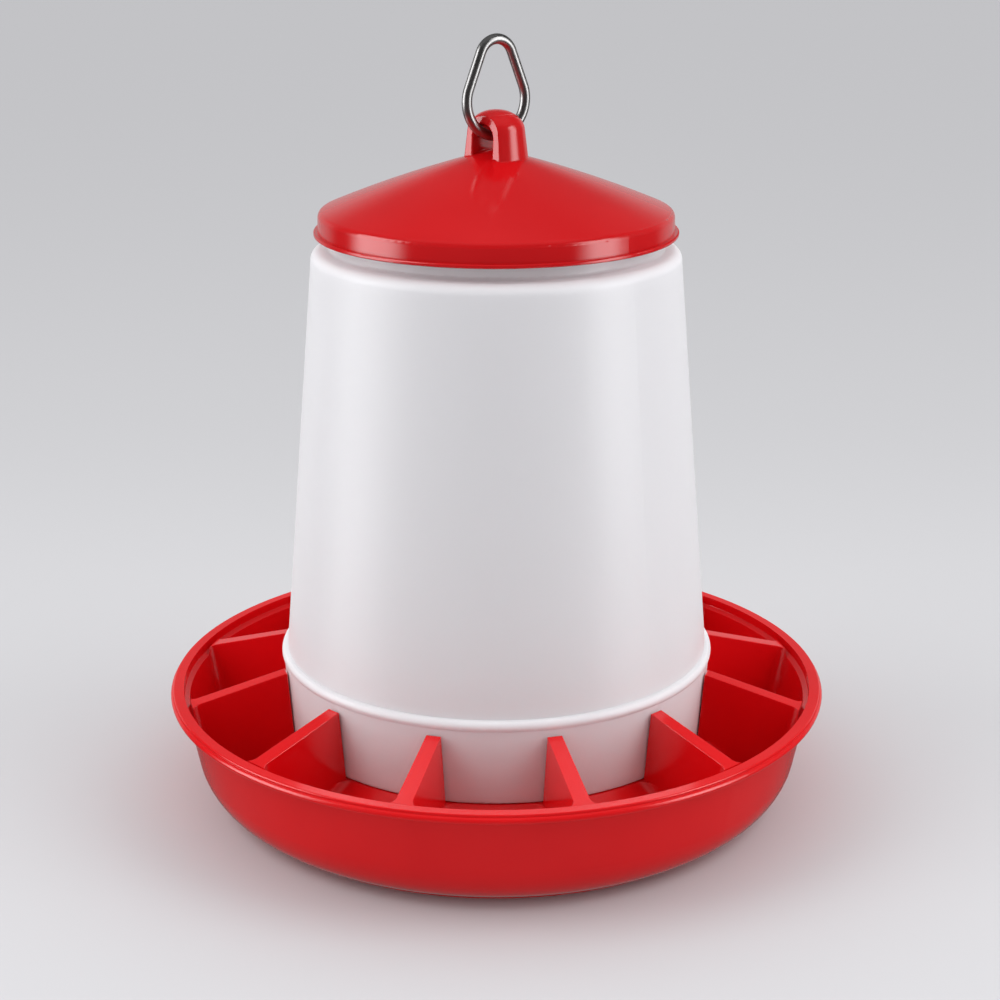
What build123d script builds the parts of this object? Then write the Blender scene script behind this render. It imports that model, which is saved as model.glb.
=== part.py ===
"""Hanging poultry feeder: divided pan, translucent barrel, twist-off lid and steel hanging ring.

Sizes are in millimetres, +Z is up, and the origin is the centre of the pan's foot ring.
The feeder is drawn standing: the barrel's skirt is down on the pan floor, so the feed gate is
closed. Hung by its ring, the barrel rises until its lugs carry the pan and the gate is open.
"""
import os
from math import acos, asin, cos, degrees, hypot, radians, sin, sqrt, tan

from build123d import *

os.makedirs("parts", exist_ok=True)

# Driving dimensions of the pan
rim_radius = 140.0
rim_height = 48.5
rim_width = 5.5
rim_edge_inset = 1.1
rim_edge_round = 0.5
rim_bead_height = 2.9
rim_overhang = 2.8
rim_step_depth = 3.6
rim_step_inset = 0.2
pan_wall = 2.3
wall_top_inset = 5.8
wall_top_drop = 5.6
wall_draft = 11.35
bottom_round = 23.0
foot_inset = 12.0
foot_width = 3.0
gutter_height = 6.0
landing_height = 28.2
floor_slope = 30.0
spreader_rise = 24.0

# Driving dimensions of the dividers
divider_count = 12
divider_thickness = 6.0
divider_draft = 2.0
divider_top_gap = 2.4
divider_outer_drop = 1.2
divider_end_round = 0.6
divider_top_round = 0.3
divider_root_round = 4.0
divider_core_wall = 2.2
divider_core_setback = 4.0

# Driving dimensions of the barrel
barrel_wall = 2.1
skirt_foot_radius = 89.2
skirt_flare = 2.1
skirt_length = 31.9
ledge_bead = 0.8
ledge_depth = 4.4
ledge_setback = 1.7
cone_taper = 14.1
cone_length = 165.4
shoulder_rise = 4.6
shoulder_inset = 4.4
neck_setback = 3.1
neck_length = 12.6

# Driving dimensions of the lid
lid_wall = 1.9
lid_skirt_length = 6.8
lid_flange_width = 1.9
lid_flange_thickness = 1.6
lid_flange_round = 0.5
lid_edge_rise = 2.1
lid_cone_rise = 25.1
lid_cone_bulge = 1.43
lid_corner_round = 2.6

# Driving dimensions of the lid's moulded eye
eye_base_radius = 13.1
eye_taper = 1.6
eye_base_drop = 4.6
eye_rise = 15.4
eye_crown = 7.5
eye_half_depth = 8.2
eye_draft = 2.7
tunnel_width = 11.2
tunnel_roof = 5.3
tunnel_mouth_round = 0.8
eye_edge_round = 0.6

# Driving dimensions of the hanging ring
ring_wire = 4.2
ring_low_radius = 14.0
ring_apex_radius = 7.9
ring_arc_spacing = 16.1
ring_turn = 10.0

# Driving dimensions of the twist locks in the pan and under the lid
lock_count = 4
lock_lug_angle = 20.0
lock_hook_angle = 26.0
lock_rib_angle = 2.0
pan_gate_lift = 11.0
skirt_lug_rise = 3.1
skirt_lug_thickness = 2.6
skirt_lug_reach = 2.6
pan_post_wall = 3.0
pan_hook_thickness = 2.6
neck_lug_drop = 3.6
neck_lug_thickness = 1.7
neck_lug_reach = 1.9
lid_hook_thickness = 1.5

# Clearances
rest_gap = 0.3
slide_gap = 0.4


def round_corner(section, radius, height, size):
    """Round the corner of a section sketch that lies nearest to a radius and a height."""
    corner = section.vertices().sort_by_distance((radius, height, 0))[0]
    fillet(corner, radius=size)


def radial_plane(angle):
    """Return the upright plane through the feeder's axis, turned by an angle about it."""
    outward = (cos(radians(angle)), sin(radians(angle)), 0)
    return Plane(origin=(0, 0, 0), x_dir=outward, z_dir=(outward[1], -outward[0], 0))


# Barrel: radii and heights that follow from the driving dimensions
skirt_foot_height = landing_height + rest_gap
skirt_top_radius = skirt_foot_radius + skirt_flare
skirt_inner_radius = skirt_foot_radius - barrel_wall
ledge_height = skirt_foot_height + skirt_length
cone_foot_radius = skirt_top_radius - ledge_setback
cone_start_height = ledge_height + ledge_depth
shoulder_radius = cone_foot_radius - cone_taper
shoulder_height = cone_start_height + cone_length
shoulder_top_height = shoulder_height + shoulder_rise
neck_radius = shoulder_radius - shoulder_inset - neck_setback
neck_top_height = shoulder_top_height + neck_length
skirt_lug_height = skirt_foot_height + skirt_lug_rise
neck_lug_height = neck_top_height - neck_lug_drop
neck_lug_radius = neck_radius + neck_lug_reach

# Pan: radii and heights that follow from the driving dimensions
rim_land_radius = rim_radius - rim_edge_inset
rim_mouth_radius = rim_radius - rim_width
rim_edge_height = rim_height - rim_edge_inset
rim_bead_foot = rim_edge_height - rim_bead_height
rim_ledge_height = rim_height - rim_step_depth
wall_top_radius = rim_radius - wall_top_inset
wall_top_height = rim_height - wall_top_drop
wall_slope = tan(radians(wall_draft))
wall_foot_radius = wall_top_radius - wall_top_height * wall_slope
round_centre_radius = wall_foot_radius - bottom_round * tan(radians(45 - wall_draft / 2))
round_start = (
    round_centre_radius + bottom_round * cos(radians(wall_draft)),
    bottom_round - bottom_round * sin(radians(wall_draft)),
)
foot_radius = wall_foot_radius - foot_inset
foot_angle = degrees(acos((foot_radius - round_centre_radius) / bottom_round))
round_middle_angle = (foot_angle + wall_draft) / 2
round_middle = (
    round_centre_radius + bottom_round * cos(radians(round_middle_angle)),
    bottom_round - bottom_round * sin(radians(round_middle_angle)),
)
round_end = (foot_radius, bottom_round - bottom_round * sin(radians(foot_angle)))
inner_wall_radius = wall_top_radius - pan_wall + (rim_ledge_height - 1 - wall_top_height) * wall_slope
inner_wall_foot = wall_foot_radius - pan_wall + gutter_height * wall_slope
well_radius = skirt_foot_radius + slide_gap
well_top_radius = skirt_top_radius + slide_gap

# Trough between the well and the wall: a landing, a steeper slope and a flat gutter
trough_width = inner_wall_foot - well_radius
floor_knee_radius = well_radius + trough_width * 0.27
gutter_width = trough_width * 0.315
gutter_radius = inner_wall_foot - gutter_width
knee_height = landing_height - (floor_knee_radius - well_radius) * tan(radians(floor_slope))

# Dividers and the posts of the twist lock
divider_inner_height = ledge_height - divider_top_gap
divider_outer_height = rim_height - divider_outer_drop
divider_core_end = gutter_radius - divider_core_setback
lug_inner_radius = skirt_inner_radius - skirt_lug_reach
post_radius = lug_inner_radius - slide_gap
hook_reach_radius = skirt_inner_radius - slide_gap
spreader_radius = post_radius - pan_post_wall - 2.0
spreader_height = landing_height + spreader_rise
hook_height = skirt_lug_height + skirt_lug_thickness + pan_gate_lift + rest_gap
top_of_work = divider_inner_height + 10.0
under_shift = 1.0

with BuildPart() as pocket:
    with BuildSketch(radial_plane(-180 / divider_count)) as pocket_section:
        with BuildLine():
            Polyline(
                (well_radius - 3, landing_height),
                (well_radius, landing_height),
                (floor_knee_radius, knee_height),
                (gutter_radius, gutter_height),
                (inner_wall_foot, gutter_height),
                (inner_wall_radius, rim_ledge_height - 1),
                (inner_wall_radius, top_of_work),
                (well_radius - 3, top_of_work),
                (well_radius - 3, landing_height),
            )
        make_face()
        round_corner(pocket_section, floor_knee_radius, knee_height, trough_width * 0.4)
        round_corner(pocket_section, gutter_radius, gutter_height, gutter_width * 0.45)
        round_corner(pocket_section, inner_wall_foot, gutter_height, gutter_width * 0.86)
    revolve(axis=Axis.Z, revolution_arc=360 / divider_count)
    for side in (-1, 1):
        half_pitch = radians(180 / divider_count)
        inward = (sin(half_pitch), -side * cos(half_pitch))
        face_point = (
            inward[0] * divider_thickness / 2,
            inward[1] * divider_thickness / 2,
            divider_inner_height,
        )
        face_plane = Plane(origin=face_point, z_dir=(*inward, tan(radians(divider_draft))))
        split(bisect_by=face_plane, keep=Keep.TOP)

    root_edges = pocket.edges().filter_by(GeomType.HYPERBOLA).sort_by(Axis.X)[-2:]
    fillet(root_edges, radius=min(divider_root_round, gutter_width * 0.37))
pocket_arc = PolarLocations(0, divider_count, start_angle=180 / divider_count)

# Core under each divider, so that its walls are as thin as the rest of the pan
core_top = divider_inner_height - divider_core_wall
core_fall = (divider_inner_height - divider_outer_height) / (inner_wall_radius - well_top_radius)
core_foot_width = (
    divider_thickness - 2 * divider_core_wall + 2 * core_top * tan(radians(divider_draft))
)
with BuildPart() as divider_core:
    with BuildSketch(Plane.XZ) as core_side:
        with BuildLine():
            Polyline(
                (well_top_radius + divider_core_wall, 0),
                (divider_core_end, 0),
                (divider_core_end, core_top - core_fall * (divider_core_end - well_top_radius)),
                (well_top_radius + divider_core_wall, core_top - core_fall * divider_core_wall),
                (well_top_radius + divider_core_wall, 0),
            )
        make_face()
    extrude(amount=core_foot_width, both=True)
    with BuildSketch(Plane.YZ) as core_end:
        with BuildLine():
            Polyline(
                (-core_foot_width / 2, 0),
                (core_foot_width / 2, 0),
                (divider_thickness / 2 - divider_core_wall, core_top),
                (divider_core_wall - divider_thickness / 2, core_top),
                (-core_foot_width / 2, 0),
            )
        make_face()
    extrude(amount=rim_radius, mode=Mode.INTERSECT)

# One hook of the pan's twist lock, with the rib that stops the barrel's lug
with BuildPart() as pan_hook:
    with BuildSketch(radial_plane(-lock_hook_angle / 2)) as hook_section:
        with BuildLine():
            Polyline(
                (post_radius - pan_post_wall, landing_height - 1),
                (post_radius, landing_height - 1),
                (post_radius, hook_height),
                (hook_reach_radius, hook_height),
                (hook_reach_radius, hook_height + pan_hook_thickness * 0.6),
                (post_radius, hook_height + pan_hook_thickness),
                (post_radius - pan_post_wall, hook_height + pan_hook_thickness),
                (post_radius - pan_post_wall, landing_height - 1),
            )
        make_face()
    revolve(axis=Axis.Z, revolution_arc=lock_hook_angle)
    with BuildSketch(radial_plane(lock_hook_angle / 2 - lock_rib_angle)) as rib_section:
        with BuildLine():
            Polyline(
                (post_radius - 1, landing_height - 1),
                (hook_reach_radius, landing_height - 1),
                (hook_reach_radius, hook_height + 1),
                (post_radius - 1, hook_height + 1),
                (post_radius - 1, landing_height - 1),
            )
        make_face()
    revolve(axis=Axis.Z, revolution_arc=lock_rib_angle)

with BuildPart() as pan:
    # Whole outside of the pan, filled up to above the dividers
    with BuildSketch(Plane.XZ) as outside_section:
        with BuildLine():
            Polyline(
                (foot_radius, round_end[1]),
                (foot_radius, 0),
                (0, 0),
                (0, top_of_work),
                (rim_mouth_radius, top_of_work),
                (rim_mouth_radius, rim_height),
                (rim_land_radius, rim_height),
                (rim_land_radius, rim_edge_height),
            )
            ThreePointArc(
                (rim_land_radius, rim_edge_height),
                (rim_radius, rim_edge_height - rim_bead_height / 2),
                (rim_land_radius, rim_bead_foot),
            )
            Polyline(
                (rim_land_radius, rim_bead_foot),
                (wall_top_radius + rim_overhang, rim_bead_foot),
                (wall_top_radius, wall_top_height),
                round_start,
            )
            ThreePointArc(round_start, round_middle, round_end)
        make_face()
        round_corner(outside_section, rim_land_radius, rim_height, rim_edge_round)
    revolve(axis=Axis.Z)
    # Well for the barrel, the sloping tops of the dividers and the step inside the rim
    with BuildSketch(Plane.XZ) as well_section:
        with BuildLine():
            Polyline(
                (0, top_of_work),
                (rim_mouth_radius, top_of_work),
                (rim_mouth_radius, rim_height),
                (rim_mouth_radius - rim_step_inset, rim_ledge_height),
                (inner_wall_radius, rim_ledge_height - 1),
                (inner_wall_radius, divider_outer_height),
                (well_top_radius, divider_inner_height),
                (well_radius, landing_height),
                (spreader_radius, landing_height),
                (0, spreader_height),
                (0, top_of_work),
            )
        make_face()
        round_corner(well_section, rim_mouth_radius, rim_height, rim_edge_round)
        round_corner(well_section, rim_mouth_radius - rim_step_inset, rim_ledge_height, 0.6)
        round_corner(well_section, well_top_radius, divider_inner_height, divider_end_round)
        round_corner(well_section, spreader_radius, landing_height, 3)
    revolve(axis=Axis.Z, mode=Mode.SUBTRACT)
    with pocket_arc:
        add(pocket.part, mode=Mode.SUBTRACT)
    divider_top_edges = [
        edge
        for edge in pan.edges().filter_by(GeomType.HYPERBOLA)
        if divider_outer_height < edge.center().Z < divider_inner_height
    ]
    fillet(divider_top_edges, radius=divider_top_round)
    # Hollow underside, one wall below the floor
    with BuildSketch(Plane.XZ) as underside_section:
        with BuildLine():
            Polyline(
                (0, 0),
                (foot_radius - foot_width, 0),
                (foot_radius - foot_width, gutter_height - pan_wall + 0.5),
                (floor_knee_radius - under_shift, knee_height - pan_wall),
                (well_radius - under_shift, landing_height - pan_wall),
                (spreader_radius - under_shift, landing_height - pan_wall),
                (0, spreader_height - pan_wall),
                (0, 0),
            )
        make_face()
    revolve(axis=Axis.Z, mode=Mode.SUBTRACT)
    with PolarLocations(0, divider_count):
        add(divider_core.part, mode=Mode.SUBTRACT)
    with PolarLocations(0, lock_count):
        add(pan_hook.part)
pan.part.label = "pan"
export_step(pan.part, "parts/pan.step")

# One lug inside the barrel's skirt, and one lug with its stop rib around the neck
with BuildPart() as skirt_lug:
    with BuildSketch(radial_plane(-lock_lug_angle / 2)) as skirt_lug_section:
        with BuildLine():
            Polyline(
                (lug_inner_radius, skirt_lug_height + 0.6),
                (skirt_inner_radius + 1.2, skirt_lug_height),
                (skirt_inner_radius + 1.2, skirt_lug_height + skirt_lug_thickness),
                (lug_inner_radius, skirt_lug_height + skirt_lug_thickness),
                (lug_inner_radius, skirt_lug_height + 0.6),
            )
        make_face()
    revolve(axis=Axis.Z, revolution_arc=lock_lug_angle)

lid_hook_top = neck_lug_height - rest_gap
with BuildPart() as neck_lug:
    with BuildSketch(radial_plane(-lock_lug_angle / 2)) as neck_lug_section:
        with BuildLine():
            Polyline(
                (neck_radius - 1, neck_lug_height),
                (neck_lug_radius, neck_lug_height),
                (neck_lug_radius, neck_lug_height + neck_lug_thickness * 0.6),
                (neck_radius - 1, neck_lug_height + neck_lug_thickness),
                (neck_radius - 1, neck_lug_height),
            )
        make_face()
    revolve(axis=Axis.Z, revolution_arc=lock_lug_angle)
    with BuildSketch(radial_plane(-lock_hook_angle / 2 - 0.5 - lock_rib_angle)) as neck_rib_section:
        with BuildLine():
            Polyline(
                (neck_radius - 1, lid_hook_top - lid_hook_thickness),
                (neck_lug_radius, lid_hook_top - lid_hook_thickness),
                (neck_lug_radius, neck_lug_height + neck_lug_thickness * 0.6),
                (neck_radius - 1, neck_lug_height + neck_lug_thickness),
                (neck_radius - 1, lid_hook_top - lid_hook_thickness),
            )
        make_face()
    revolve(axis=Axis.Z, revolution_arc=lock_rib_angle)

# Barrel: a single moulded wall from the skirt to the neck
with BuildPart() as barrel:
    with BuildSketch(Plane.XZ) as barrel_section:
        with BuildLine():
            Line((skirt_foot_radius, skirt_foot_height), (skirt_top_radius, ledge_height))
            ThreePointArc(
                (skirt_top_radius, ledge_height),
                (skirt_top_radius + ledge_bead, ledge_height + ledge_depth / 2),
                (skirt_top_radius - 0.3, ledge_height + ledge_depth - 0.4),
            )
            Polyline(
                (skirt_top_radius - 0.3, ledge_height + ledge_depth - 0.4),
                (cone_foot_radius, cone_start_height),
                (shoulder_radius, shoulder_height),
            )
            ThreePointArc(
                (shoulder_radius, shoulder_height),
                (shoulder_radius - 0.27 * shoulder_inset, shoulder_height + 0.7 * shoulder_rise),
                (shoulder_radius - shoulder_inset, shoulder_top_height),
            )
            Polyline(
                (shoulder_radius - shoulder_inset, shoulder_top_height),
                (neck_radius, shoulder_top_height + 0.5),
                (neck_radius, neck_top_height),
                (neck_radius - barrel_wall, neck_top_height),
                (neck_radius - barrel_wall, shoulder_top_height - barrel_wall),
                (shoulder_radius - shoulder_inset, shoulder_top_height - barrel_wall),
                (shoulder_radius - barrel_wall, shoulder_height - 1),
                (cone_foot_radius - barrel_wall, cone_start_height),
                (skirt_top_radius - barrel_wall, ledge_height),
                (skirt_foot_radius - barrel_wall, skirt_foot_height),
                (skirt_foot_radius, skirt_foot_height),
            )
        make_face()
        round_corner(barrel_section, neck_radius, shoulder_top_height + 0.5, 1.2)
        round_corner(barrel_section, neck_radius, neck_top_height, 0.8)
        round_corner(barrel_section, skirt_foot_radius, landing_height + rest_gap, 0.6)
    revolve(axis=Axis.Z)
    with PolarLocations(0, lock_count):
        add(skirt_lug.part)
        add(neck_lug.part)
barrel.part.label = "barrel"
export_step(barrel.part, "parts/barrel.step")

# Moulded eye: a thimble cut flat front and back, with an arched tunnel through it
lid_inner_radius = neck_lug_radius + rest_gap
lid_band_radius = lid_inner_radius + lid_wall
lid_edge_height = neck_top_height + lid_edge_rise
lid_centre_height = lid_edge_height + lid_cone_rise
eye_base_height = lid_centre_height - eye_base_drop
eye_foot_height = eye_base_height - 4.4
eye_top_height = lid_centre_height + eye_rise
eye_shoulder_height = eye_top_height - eye_crown
eye_shoulder_radius = eye_base_radius - eye_taper
eye_face_slope = tan(radians(eye_draft))
eye_side_slope = eye_taper / (eye_shoulder_height - eye_base_height)
eye_foot_radius = eye_base_radius + (eye_base_height - eye_foot_height) * eye_side_slope
tunnel_radius = tunnel_width / 2
tunnel_top_height = eye_top_height - tunnel_roof
tunnel_centre_height = tunnel_top_height - tunnel_radius
with BuildPart() as eye:
    with BuildSketch(Plane.XZ) as thimble_section:
        with BuildLine():
            Polyline(
                (0, eye_top_height),
                (0, eye_foot_height),
                (eye_foot_radius, eye_foot_height),
                (eye_shoulder_radius, eye_shoulder_height),
            )
            Spline(
                (eye_shoulder_radius, eye_shoulder_height),
                (eye_shoulder_radius * 0.826, eye_top_height - eye_crown * 0.48),
                (0, eye_top_height),
                tangents=[(-eye_side_slope, 1), (-1, 0)],
            )
        make_face()
    revolve(axis=Axis.Z)
    for side in (-1, 1):
        face_plane = Plane(
            origin=(0, side * eye_half_depth, eye_base_height), z_dir=(0, -side, -eye_face_slope)
        )
        split(bisect_by=face_plane, keep=Keep.TOP)
    with BuildSketch(Plane.XZ) as tunnel_section:
        with Locations((0, tunnel_centre_height)):
            Circle(tunnel_radius)
        with Locations((0, tunnel_centre_height - 20)):
            Rectangle(tunnel_width, 40)
    extrude(amount=eye_base_radius + 5, both=True, mode=Mode.SUBTRACT)
    mouth_edges = [
        edge
        for edge in eye.edges()
        if abs(edge.center().X) < tunnel_radius + 0.1 and abs(edge.center().Y) > eye_half_depth - 1.5
    ]
    mouth_edges = [edge for edge in mouth_edges if edge.center().Z > eye_foot_height + 1]
    mouth_edges = [edge for edge in mouth_edges if edge.center().Z < tunnel_top_height + 0.5]
    fillet(mouth_edges, radius=tunnel_mouth_round)

# Lid: shallow cone, short band and thin flange, hollow below, with hooks for the neck's lugs
lid_flange_radius = lid_band_radius + lid_flange_width
lid_flange_height = neck_top_height - lid_skirt_length
lid_flange_top = lid_flange_height + lid_flange_thickness
lid_seat_height = neck_top_height + rest_gap
lid_middle = 0.555
lid_mid_radius = lid_band_radius * lid_middle
lid_mid_height = lid_centre_height - lid_cone_rise * lid_middle + lid_cone_bulge
lid_roof = lid_wall * 1.08
lid_seat_inner_radius = neck_radius - barrel_wall - 1
with BuildPart() as lid_hook:
    with BuildSketch(radial_plane(-lock_hook_angle / 2)) as lid_hook_section:
        with BuildLine():
            Polyline(
                (neck_radius + rest_gap, lid_hook_top - lid_hook_thickness * 0.7),
                (lid_inner_radius + 1, lid_hook_top - lid_hook_thickness),
                (lid_inner_radius + 1, lid_hook_top),
                (neck_radius + rest_gap, lid_hook_top),
                (neck_radius + rest_gap, lid_hook_top - lid_hook_thickness * 0.7),
            )
        make_face()
    revolve(axis=Axis.Z, revolution_arc=lock_hook_angle)

with BuildPart() as lid:
    with BuildSketch(Plane.XZ) as lid_section:
        with BuildLine():
            ThreePointArc(
                (0, lid_centre_height),
                (lid_mid_radius, lid_mid_height),
                (lid_band_radius, lid_edge_height),
            )
            Polyline(
                (lid_band_radius, lid_edge_height),
                (lid_band_radius + 0.2, lid_flange_top),
                (lid_flange_radius, lid_flange_top),
                (lid_flange_radius, lid_flange_height),
                (0, lid_flange_height),
                (0, lid_centre_height),
            )
        make_face()
        round_corner(lid_section, lid_band_radius, lid_edge_height, lid_corner_round)
        round_corner(lid_section, lid_flange_radius, lid_flange_top, lid_flange_round)
        round_corner(lid_section, lid_flange_radius, lid_flange_height, lid_flange_round)
    revolve(axis=Axis.Z)
    add(eye.part)
    with BuildSketch(Plane.XZ) as lid_hollow_section:
        with BuildLine():
            ThreePointArc(
                (0, lid_centre_height - lid_roof),
                (lid_mid_radius, lid_mid_height - lid_roof),
                (lid_seat_inner_radius, lid_seat_height + 3.0),
            )
            Polyline(
                (lid_seat_inner_radius, lid_seat_height + 3.0),
                (lid_seat_inner_radius, lid_seat_height),
                (neck_radius - 0.4, lid_seat_height),
                (neck_radius - 0.4, lid_seat_height + 0.8),
                (lid_inner_radius, lid_seat_height + 0.8),
                (lid_inner_radius, lid_flange_height),
                (0, lid_flange_height),
                (0, lid_centre_height - lid_roof),
            )
        make_face()
        round_corner(lid_hollow_section, lid_inner_radius, lid_seat_height + 0.8, 1.0)
    revolve(axis=Axis.Z, mode=Mode.SUBTRACT)
    eye_edges = [
        edge
        for edge in lid.edges()
        if edge.center().Z > eye_foot_height
        and hypot(edge.center().X, edge.center().Y) < eye_base_radius + 1
    ]
    side_edges = [
        edge
        for edge in eye_edges
        if abs(edge.center().X) > tunnel_radius + 1.5 and edge.center().Z < eye_shoulder_height - 1
    ]
    crown_edges = [
        edge
        for edge in eye_edges
        if abs(edge.center().Y) > eye_half_depth - 1.5 and edge.center().Z > tunnel_top_height + 1.5
    ]
    fillet(side_edges + crown_edges, radius=eye_edge_round)
    with PolarLocations(0, lock_count):
        add(lid_hook.part)
lid.part.label = "lid"
export_step(lid.part, "parts/lid.step")

# Hanging ring: a closed steel link, its lower arc through the eye's tunnel
ring_taper = degrees(asin((ring_low_radius - ring_apex_radius) / ring_arc_spacing))
mouth_depth = eye_half_depth - tunnel_mouth_round / 2
mouth_offset = mouth_depth * sin(radians(ring_turn))
mouth_rise = ring_low_radius - sqrt(ring_low_radius**2 - mouth_depth**2)
ring_play = tunnel_radius - ring_wire / 2 - rest_gap
ring_pivot_height = tunnel_centre_height + sqrt(ring_play**2 - mouth_offset**2) - mouth_rise
ring_plane = Plane(
    origin=(0, 0, ring_pivot_height + ring_low_radius),
    x_dir=(sin(radians(ring_turn)), cos(radians(ring_turn)), 0),
    z_dir=(cos(radians(ring_turn)), -sin(radians(ring_turn)), 0),
)
ring_tangent = (cos(radians(ring_taper)), sin(radians(ring_taper)))
with BuildPart() as hanging_ring:
    with BuildLine(ring_plane) as ring_path:
        CenterArc((0, 0), ring_low_radius, 180 - ring_taper, 180 + 2 * ring_taper)
        Line(
            (ring_low_radius * ring_tangent[0], ring_low_radius * ring_tangent[1]),
            (ring_apex_radius * ring_tangent[0], ring_arc_spacing + ring_apex_radius * ring_tangent[1]),
        )
        CenterArc((0, ring_arc_spacing), ring_apex_radius, ring_taper, 180 - 2 * ring_taper)
        Line(
            (-ring_apex_radius * ring_tangent[0], ring_arc_spacing + ring_apex_radius * ring_tangent[1]),
            (-ring_low_radius * ring_tangent[0], ring_low_radius * ring_tangent[1]),
        )
    with BuildSketch(Plane(origin=ring_path.line @ 0, z_dir=ring_path.line % 0)) as wire_section:
        Circle(ring_wire / 2)
    sweep(path=ring_path.line)
hanging_ring.part.label = "hanging_ring"
export_step(hanging_ring.part, "parts/hanging_ring.step")
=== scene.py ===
# %% [markdown]
# # A hanging poultry feeder
#
# The feeder is four parts: a red divided pan, a milky barrel that holds the feed, a red lid
# with a moulded eye, and a steel ring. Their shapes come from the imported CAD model, so this
# lesson is about what makes moulded plastic and polished wire look real: how smooth they are,
# how light enters them, and what the studio around them puts into their reflections.

import math

import bmesh
import bpy
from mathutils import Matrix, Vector

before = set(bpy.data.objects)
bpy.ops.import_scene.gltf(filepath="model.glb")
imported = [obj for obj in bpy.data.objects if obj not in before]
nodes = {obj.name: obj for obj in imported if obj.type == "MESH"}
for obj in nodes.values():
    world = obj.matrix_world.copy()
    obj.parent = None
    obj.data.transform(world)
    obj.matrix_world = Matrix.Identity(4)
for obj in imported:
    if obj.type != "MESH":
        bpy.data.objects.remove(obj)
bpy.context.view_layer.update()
for name in sorted(nodes):
    print(name, "has", len(nodes[name].data.polygons), "faces")

# %% [markdown]
# ## The camera
#
# The feeder is seen from about eighteen degrees above, through a short telephoto lens, which
# keeps the round pan from bulging towards us. A lens of 75 mm on a 36 mm sensor does that.
# Fixing the camera first means that every later step can be judged in the picture.

# %% Place the camera
lens_mm = 74.87
sensor_mm = 36
view_turn = math.radians(45.5)
view_tilt = math.radians(18.03)
view_distance = 0.8362
view_height = 0.3985
side_step = 0.0015

towards = Vector((math.sin(view_turn), -math.cos(view_turn), 0))
sideways = Vector((math.cos(view_turn), math.sin(view_turn), 0))
upwards = Vector((0, 0, 1))

camera_data = bpy.data.cameras.new("camera")
camera_data.lens = lens_mm
camera_data.sensor_width = sensor_mm
camera = bpy.data.objects.new("camera", camera_data)
camera.location = towards * view_distance + sideways * side_step + upwards * view_height
camera.rotation_euler = (math.pi / 2 - view_tilt, 0, view_turn)
bpy.context.scene.collection.objects.link(camera)
bpy.context.scene.camera = camera
print("camera at", [round(c, 3) for c in camera.location])

# %% [markdown]
# ## A small language for finishes
#
# A finish is a network of shader nodes. Written one by one they hide the idea, so a small
# class wraps a node's output and lets Python's own signs add the Math nodes. The reflected
# forms, such as the one behind `1 - mask`, let a plain number stand on the left.

# %% Values that can be used in sums
class Value:
    """An output socket of a node."""

    def __init__(self, finish, socket):
        self.finish = finish
        self.socket = socket

    def math(self, operation, first, second):
        settings = {"operation": operation}
        return self.finish.node("ShaderNodeMath", settings, {0: first, 1: second})[0]

    def __add__(self, other):
        return self.math("ADD", self, other)

    def __sub__(self, other):
        return self.math("SUBTRACT", self, other)

    def __rsub__(self, other):
        return self.math("SUBTRACT", other, self)

    def __mul__(self, other):
        return self.math("MULTIPLY", self, other)

    def angle_from(self, other):
        """The turn, in degrees, from the other direction to this one."""
        return self.math("ARCTAN2", self, other) * math.degrees(1)

    __radd__ = __add__
    __rmul__ = __mul__


# %% [markdown]
# Every other node comes from one method. It takes the node's type, then its settings, and
# then a value or a link for each socket that matters. A world has a node tree just as a
# material has, so the same class serves both.

# %% Finishes and the method that adds their nodes
class Sockets:
    """The outputs of a node, by name or number."""

    def __init__(self, finish, made):
        self.finish = finish
        self.made = made

    def __getitem__(self, key):
        return Value(self.finish, self.made.outputs[key])


class Finish:
    """A material or a world, and the nodes that make it."""

    def __init__(self, name, library=bpy.data.materials):
        self.material = library.new(name)
        self.material.use_nodes = True
        self.tree = self.material.node_tree
        self.tree.nodes.clear()
        self.coordinates = self.node("ShaderNodeTexCoord")
        self.place = self.coordinates["Object"]

    def node(self, kind, settings=None, sockets=None):
        made = self.tree.nodes.new(kind)
        for key, value in (settings or {}).items():
            setattr(made, key, value)
        for key, value in (sockets or {}).items():
            if isinstance(value, Value):
                self.tree.links.new(value.socket, made.inputs[key])
            else:
                made.inputs[key].default_value = value
        return Sockets(self, made)

    def use_on(self, piece):
        piece.data.materials.clear()
        piece.data.materials.append(self.material)
        print(piece.name, "wears", self.material.name, "with", len(self.tree.nodes), "nodes")


# %% [markdown]
# Most finishes ask for the same few things: a noise of a certain grain, a soft step between
# two values, and a mix of two colours. Each is worth a short helper of its own.

# %% Grain, soft steps and colour mixes
def grain(finish, size, detail, rough=0.5, stretch=(1, 1, 1)):
    """Noise whose blotches are about one size across, in metres."""
    settings = {"vector_type": "POINT"}
    sockets = {"Vector": finish.place, "Scale": stretch}
    scaled = finish.node("ShaderNodeMapping", settings, sockets)["Vector"]
    sockets = {"Vector": scaled, "Scale": 1 / size, "Detail": detail, "Roughness": rough}
    return finish.node("ShaderNodeTexNoise", None, sockets)["Fac"]


def soft_step(finish, value, low, high, first=0.0, last=1.0):
    """A smooth change from first to last while the value goes from low to high."""
    sockets = {"Value": value, 1: low, 2: high, 3: first, 4: last}
    settings = {"interpolation_type": "SMOOTHSTEP", "clamp": True}
    return finish.node("ShaderNodeMapRange", settings, sockets)[0]


def mix_colours(finish, share, first, second):
    """A blend of two colours, each a tuple or the output of a node."""
    sockets = {0: share, 6: first, 7: second}
    return finish.node("ShaderNodeMix", {"data_type": "RGBA"}, sockets)[2]


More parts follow.
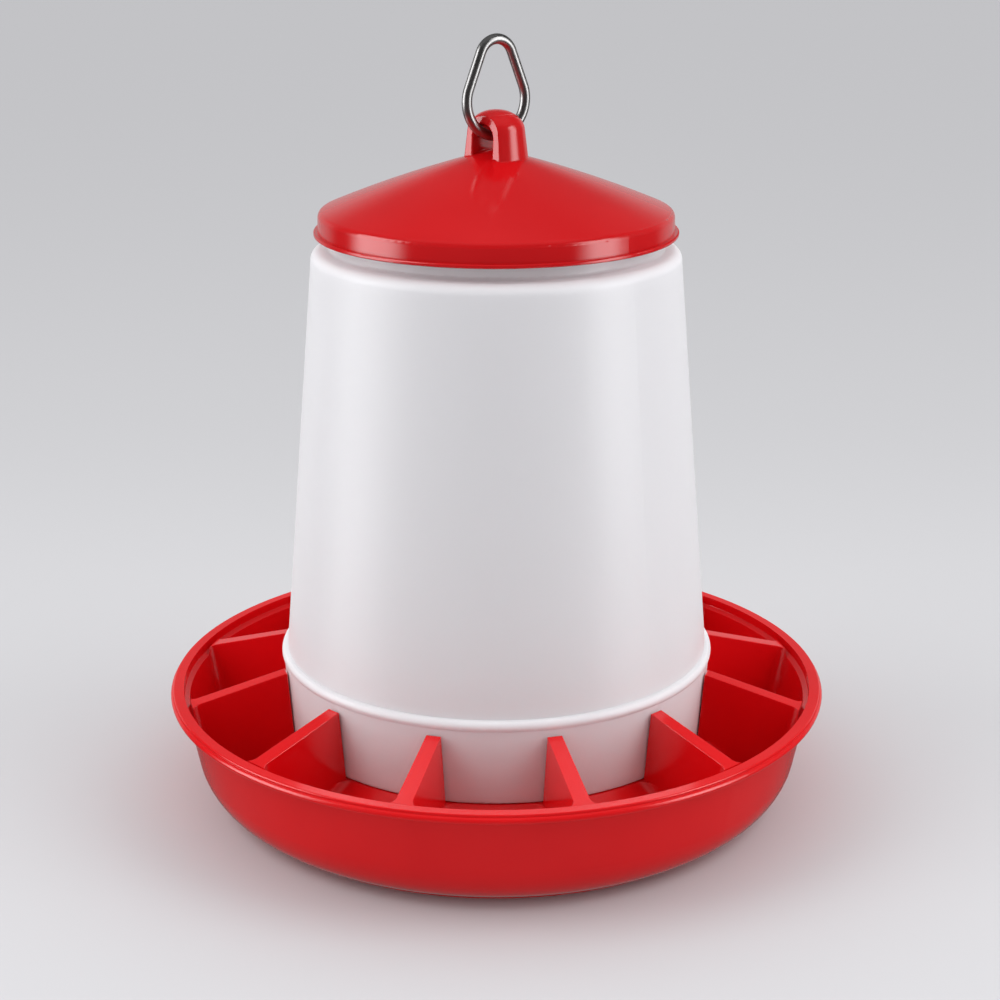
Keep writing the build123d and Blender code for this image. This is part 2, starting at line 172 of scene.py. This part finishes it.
# %% [markdown]
# Two more helpers belong to finishes of moulded parts: the shader itself, joined to the
# output, and the skin. A moulding is never quite flat. A Bump of a twentieth of a millimetre,
# on a noise as wide as a fingertip, makes its reflections waver slowly.

# %% The shader and the wavering skin
skin_height = 0.00005
skin_detail = 1.0
skin_rough = 0.4


def surface(finish, **sockets):
    """The finish's main shader, joined to the material's output."""
    named = {key.replace("_", " "): value for key, value in sockets.items()}
    shader = finish.node("ShaderNodeBsdfPrincipled", None, named)
    finish.node("ShaderNodeOutputMaterial", None, {"Surface": shader["BSDF"]})


def wavering_skin(finish, size, stretch=(1, 1, 1)):
    """The slow waver of a moulded surface, as a normal."""
    height = grain(finish, size, skin_detail, skin_rough, stretch)
    bump = {"Strength": 1.0, "Distance": skin_height, "Height": height}
    return finish.node("ShaderNodeBump", None, bump)["Normal"]


# %% [markdown]
# ## Red moulded plastic
#
# The pan and the lid are injection-moulded polypropylene with the shine of a polished mould.
# The colour goes right through and hardly any green or blue comes back, so the shadows stay
# pure red. A little of the light enters the plastic and comes out redder beside it. The lid
# is written darker than the pan, because it faces more of the light.

# %% Make the red plastic
plastic_ior = 1.49
plastic_gloss = 0.75
cloud_detail = 2.0
red_cloud_size = 0.06
red_skin_size = 0.014
red_gloss = (0.13, 0.17)
red_light_inside = 0.1
red_light_reach = (0.003, 0.0004, 0.0004)


def red_plastic(name, deep, bright):
    finish = Finish(name)
    cloud = grain(finish, red_cloud_size, cloud_detail)
    patches = soft_step(finish, cloud, 0.35, 0.65)
    surface(
        finish,
        Base_Color=mix_colours(finish, patches, deep, bright),
        Roughness=soft_step(finish, cloud, 0.35, 0.65, *red_gloss),
        Normal=wavering_skin(finish, red_skin_size),
        IOR=plastic_ior,
        Specular_IOR_Level=plastic_gloss,
        Subsurface_Weight=red_light_inside,
        Subsurface_Radius=red_light_reach,
        Subsurface_Scale=1.0,
    )
    return finish


# %% [markdown]
# The pan and the lid each get their own pair of reds. The lid's pair is painted shade: the same
# red written darker, because the lid faces more of the light. Each pair is close: only a slow
# cloud runs between its two reds.

# %% Dress the pan and the lid
pan_deep = (0.67, 0.003, 0.0055, 1)
pan_bright = (0.71, 0.004, 0.0065, 1)
# painted shade: the lid's reds are the pan's red made darker, because the lid faces more light
lid_shaded_deep = (0.52, 0.003, 0.005, 1)
lid_shaded_bright = (0.56, 0.004, 0.006, 1)

red_plastic("red_pan_plastic", pan_deep, pan_bright).use_on(nodes["pan"])
red_plastic("red_lid_plastic", lid_shaded_deep, lid_shaded_bright).use_on(nodes["lid"])

# %% [markdown]
# ## The milky barrel
#
# Unpigmented polypropylene scatters light inside a wall two millimetres thick. It glows softly,
# and red from the pan leaks into its lowest part. Subsurface scattering with a radius wider
# than the wall gives the glow, and a share of rough transmission lets the red through. Its
# clouds and its waver are drawn out upwards, as plastic is when it is pulled into a mould.

# %% Make the milky plastic
milk_low = (0.83, 0.82, 0.845, 1)
milk_high = (0.86, 0.85, 0.875, 1)
milk_gloss = (0.36, 0.42)
milk_cloud_size = 0.05
milk_cloud_stretch = (1, 1, 0.35)
milk_skin_size = 0.016
milk_skin_stretch = (1, 1, 0.4)
milk_see_through = 0.08
milk_glow = 0.8
milk_light_reach = (0.004, 0.004, 0.004)


def milky_plastic(name):
    finish = Finish(name)
    cloud = grain(finish, milk_cloud_size, cloud_detail, stretch=milk_cloud_stretch)
    surface(
        finish,
        Base_Color=mix_colours(finish, cloud, milk_low, milk_high),
        Roughness=soft_step(finish, cloud, 0.3, 0.7, *milk_gloss),
        Normal=wavering_skin(finish, milk_skin_size, milk_skin_stretch),
        IOR=plastic_ior,
        Specular_IOR_Level=plastic_gloss,
        Transmission_Weight=milk_see_through,
        Subsurface_Weight=milk_glow,
        Subsurface_Radius=milk_light_reach,
        Subsurface_Scale=1.0,
    )
    return finish


milky_plastic("milky_barrel_plastic").use_on(nodes["barrel"])

# %% [markdown]
# ## The steel wire
#
# The ring is bent from drawn stainless wire and brightened in a tumbler, which leaves a soft
# sheen and no mirror. Handling adds small duller patches, so its roughness varies a little
# while its colour hardly does.

# %% Make the steel
steel_dark = (0.34, 0.335, 0.33, 1)
steel_pale = (0.42, 0.415, 0.41, 1)
steel_gloss = (0.3, 0.36)
steel_patch_size = 0.006
steel_patch_detail = 3.0


def steel_wire(name):
    finish = Finish(name)
    patches = grain(finish, steel_patch_size, steel_patch_detail)
    surface(
        finish,
        Base_Color=mix_colours(finish, patches, steel_dark, steel_pale),
        Metallic=1.0,
        Roughness=soft_step(finish, patches, 0.3, 0.7, *steel_gloss),
    )
    return finish


steel_wire("polished_steel_wire").use_on(nodes["hanging_ring"])

# %% [markdown]
# ## The studio floor
#
# One pale sheet reaches so far behind the feeder that no horizon shows. It takes the shadow,
# and its colour is painted a little paler where it comes forward, a painted pool of light as on
# a lit table top. Reflections do not see it: the plastic mirrors the painted surround further
# down instead. A dot product tells how far a point lies along an axis, and the surround will
# need the same measure.

# %% Lay the floor
floor_reach = 30.0
floor_sides = 64
floor_roughness = 0.7
floor_far = (0.487, 0.487, 0.497, 1)
# painted light: this paler tone near the camera stands in for a pool of light on the floor
floor_painted_lit = (0.57, 0.57, 0.582, 1)
fade_start = -0.6
fade_end = 0.25


def along(finish, vector, axis):
    """How far a vector reaches along an axis."""
    product = {"operation": "DOT_PRODUCT"}
    return finish.node("ShaderNodeVectorMath", product, {0: vector, 1: axis})["Value"]


def studio_paper(name):
    finish = Finish(name)
    # painted light: the floor turns paler towards the camera, in place of a pool of lamp light
    painted_light_share = soft_step(finish, along(finish, finish.place, towards), fade_start, fade_end)
    surface(
        finish,
        Base_Color=mix_colours(finish, painted_light_share, floor_far, floor_painted_lit),
        Roughness=floor_roughness,
        Specular_IOR_Level=0.0,
    )
    return finish


def studio_floor(name):
    shape = bmesh.new()
    bmesh.ops.create_circle(shape, cap_ends=True, segments=floor_sides, radius=floor_reach)
    data = bpy.data.meshes.new(name)
    shape.to_mesh(data)
    shape.free()
    piece = bpy.data.objects.new(name, data)
    piece.visible_glossy = False
    bpy.context.scene.collection.objects.link(piece)
    studio_paper(name + "_paper").use_on(piece)


studio_floor("studio_floor")

# %% [markdown]
# ## What reflections see
#
# Glossy plastic and wire look right only when there is something to mirror. Two tall soft
# boxes stand at the sides, the paper behind the feeder is grey, the ceiling and the ground are
# dim, and the room behind the camera is dark. The soft boxes draw the upright streaks on the
# lid's band, the barrel and the wire. All of it is fixed to the room by the camera's turn.

# %% Paint the soft boxes
left_box = (-100, -64)
right_box = (58, 85)
box_turn_edge = 9
box_foot = -0.27
box_top = 0.6
box_end_edge = 0.05
box_light = 4.0


def between(finish, value, low, high, edge):
    """One between two limits and nothing outside them, with soft edges."""
    rise = soft_step(finish, value, low - edge, low + edge)
    return rise * soft_step(finish, value, high - edge, high + edge, 1.0, 0.0)


def soft_boxes(air, front, side, up):
    """Two bright upright panels, placed by their turn from the camera in degrees."""
    turn = side.angle_from(front)
    panels = between(air, turn, *left_box, box_turn_edge)
    panels = panels + between(air, turn, *right_box, box_turn_edge)
    return panels * between(air, up, box_foot, box_top, box_end_edge) * box_light


# %% [markdown]
# The grey behind the feeder fades out above and below. Without that fade a bright line would
# run along every lower edge of the pan, where the plastic mirrors at a grazing angle.

# %% Paint the rest of the room
rear_grey = 0.38
rear_fade = 0.15
ceiling_grey = 0.14
ground_grey = 0.1
room_dark = 0.06


def grey_behind(air, front, up):
    """One behind the feeder and nothing in front, less above and below."""
    share = soft_step(air, front, -0.75, -0.5, 1.0, 0.0)
    share = share * soft_step(air, up, -0.46, -0.38, rear_fade, 1.0)
    return share * soft_step(air, up, 0.15, 0.5, 1.0, rear_fade)


def mirrored_room(air, front, side, up):
    """The brightness that a reflection sees in each direction."""
    behind = grey_behind(air, front, up)
    ceiling = soft_step(air, up, 0.72, 0.92)
    ground = soft_step(air, up, -0.6, -0.45, 1.0, 0.0) * (1 - behind)
    light = soft_boxes(air, front, side, up) + behind * rear_grey
    return light + ceiling * ceiling_grey + ground * ground_grey + room_dark


# %% [markdown]
# ## Light from all sides
#
# The room's air gives an even light, rather more from both sides and less from the camera, so
# that round parts keep their form. The camera, and light that has come through the milky wall,
# see one plain grey, which is the tone of the floor far away, so floor and air join unseen.

# %% Light the air
even_light = 1.13
side_light = 1.2
front_shade = 0.45
side_balance = 0.3
air_tint = (0.985, 0.985, 1.0, 1)
far_grey = even_light * floor_far[0]


def studio_air(name):
    air = Finish(name, bpy.data.worlds)
    direction = air.coordinates["Generated"]
    front = along(air, direction, towards)
    side = along(air, direction, sideways)
    up = along(air, direction, upwards)
    lit = side * side * side_light - front * front_shade + (even_light - side_balance)
    path = air.node("ShaderNodeLightPath")
    mirrored = mirrored_room(air, front, side, up)
    strength = lit + path["Is Glossy Ray"] * (mirrored - lit)
    seen = path["Is Camera Ray"] + path["Is Transmission Ray"]
    strength = strength + seen * (far_grey - strength)
    tint = {"Color": air_tint, "Strength": strength}
    background = air.node("ShaderNodeBackground", None, tint)
    air.node("ShaderNodeOutputWorld", None, {"Surface": background["Background"]})
    print(name, "is made of", len(air.tree.nodes), "nodes")
    return air.material


bpy.context.scene.world = studio_air("studio_air")

# %% [markdown]
# ## Two lamps
#
# Air alone leaves a part that seems to float. Two weak area lamps, one on each side, put soft
# shadows to the left and right of the pan. They are kept out of reflections, where the painted
# soft boxes already stand. The Standard view shows colours as they are written.

# %% Stand the side lamps
lamp_size = 0.7
lamp_power = 4.0
lamp_turn = 75
lamp_height = 1.0
lamp_distance = 0.95
lamp_aim = Vector((0, 0, 0.15))


def soft_lamp(name, turn):
    """An area lamp that stands at an angle from the camera's side and looks at the feeder."""
    data = bpy.data.lights.new(name, "AREA")
    data.shape = "RECTANGLE"
    data.size = lamp_size
    data.size_y = lamp_size
    data.energy = lamp_power
    lamp = bpy.data.objects.new(name, data)
    lamp.visible_camera = False
    lamp.visible_glossy = False
    angle = view_turn + math.radians(turn)
    outwards = Vector((math.sin(angle), -math.cos(angle), 0))
    lamp.location = outwards * lamp_distance + upwards * lamp_height
    lamp.rotation_euler = (lamp_aim - lamp.location).to_track_quat("-Z", "Y").to_euler()
    bpy.context.scene.collection.objects.link(lamp)
    print(name, "at", [round(c, 3) for c in lamp.location])


soft_lamp("lamp_left", -lamp_turn)
soft_lamp("lamp_right", lamp_turn)
bpy.context.scene.view_settings.view_transform = "Standard"
